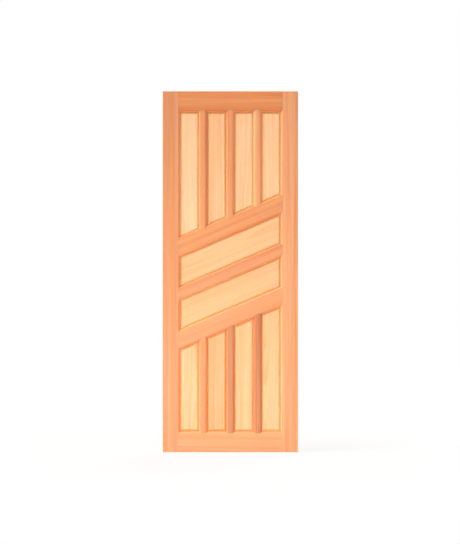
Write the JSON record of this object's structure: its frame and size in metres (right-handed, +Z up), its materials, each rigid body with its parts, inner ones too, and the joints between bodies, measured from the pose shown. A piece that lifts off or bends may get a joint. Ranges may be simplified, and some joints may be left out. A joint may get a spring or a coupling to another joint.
{
  "type": "exterior door leaf",
  "caption": "Panelled timber exterior door leaf with slanted rails, a moulded frame and raised, fielded panels; it hangs by its long hinge edge in a door frame.",
  "frame": {"origin": "foot of the hinge edge, at mid-thickness of the leaf", "axes": "+X across the leaf from the hinge edge to the latch edge, +Y through the leaf from front to back, +Z up"},
  "size_m": [0.762, 0.044, 2.032],
  "materials": {
    "frame_wood": "reddish softwood with a clear satin finish",
    "panel_wood": "pale yellow softwood with a clear satin finish"
  },
  "bodies": {
    "root": {"hinge_stile": "frame_wood", "latch_stile": "frame_wood", "top_rail": "frame_wood", "bottom_rail": "frame_wood", "upper_diagonal_rail": "frame_wood", "middle_diagonal_rail": "frame_wood", "lower_diagonal_rail": "frame_wood", "upper_mullion_1": "frame_wood", "upper_mullion_2": "frame_wood", "upper_mullion_3": "frame_wood", "lower_mullion_1": "frame_wood", "lower_mullion_2": "frame_wood", "lower_mullion_3": "frame_wood", "upper_panel_1": "panel_wood", "upper_panel_2": "panel_wood", "upper_panel_3": "panel_wood", "upper_panel_4": "panel_wood", "upper_slanted_panel": "panel_wood", "lower_slanted_panel": "panel_wood", "lower_panel_1": "panel_wood", "lower_panel_2": "panel_wood", "lower_panel_3": "panel_wood", "lower_panel_4": "panel_wood"}
  },
  "joints": []
}
